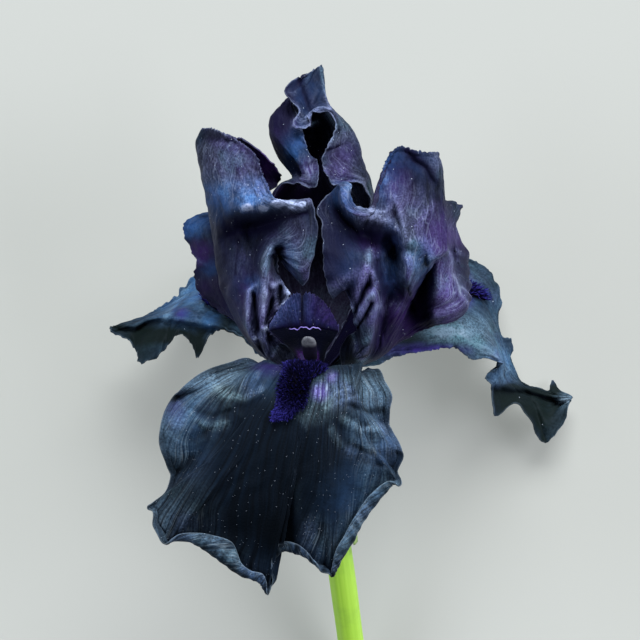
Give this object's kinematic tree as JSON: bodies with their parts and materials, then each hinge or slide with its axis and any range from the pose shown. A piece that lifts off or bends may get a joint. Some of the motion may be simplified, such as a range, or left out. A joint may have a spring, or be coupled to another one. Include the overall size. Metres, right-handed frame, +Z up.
{
  "type": "bearded iris flower",
  "caption": "Cut bearded iris flower lying down: upright standards, drooping falls with beards, style arms, stamens, spathe and short stem.",
  "frame": {"origin": "centre of the bounding box, at the surface the flower lies on", "axes": "+Z up from the surface towards the side that faces the viewer, +Y from the cut stem towards the top of the standards, +X towards the flower's right as seen from above"},
  "size_m": [0.1402, 0.194, 0.1022],
  "materials": {
    "standard_petal": "matte petal, finely veined",
    "fall_petal": "velvety petal with a soft sheen",
    "beard_hair": "fuzzy hairs",
    "style_petal": "satin petal",
    "stamen_cream": "powdery",
    "stem_green": "waxy bloom",
    "spathe_green": "papery, dry at the edge"
  },
  "bodies": {
    "root": {"standard_left": "standard_petal", "standard_right": "standard_petal", "standard_back": "standard_petal", "fall_left": "fall_petal", "fall_right": "fall_petal", "fall_front": "fall_petal", "beard_front": "beard_hair", "beard_left": "beard_hair", "beard_right": "beard_hair", "style_front": "style_petal", "style_left": "style_petal", "style_right": "style_petal", "stamen_front": "stamen_cream", "stamen_left": "stamen_cream", "stamen_right": "stamen_cream", "tube_ovary": "stem_green", "stem": "stem_green", "spathe_outer": "spathe_green", "spathe_inner": "spathe_green"}
  },
  "joints": []
}
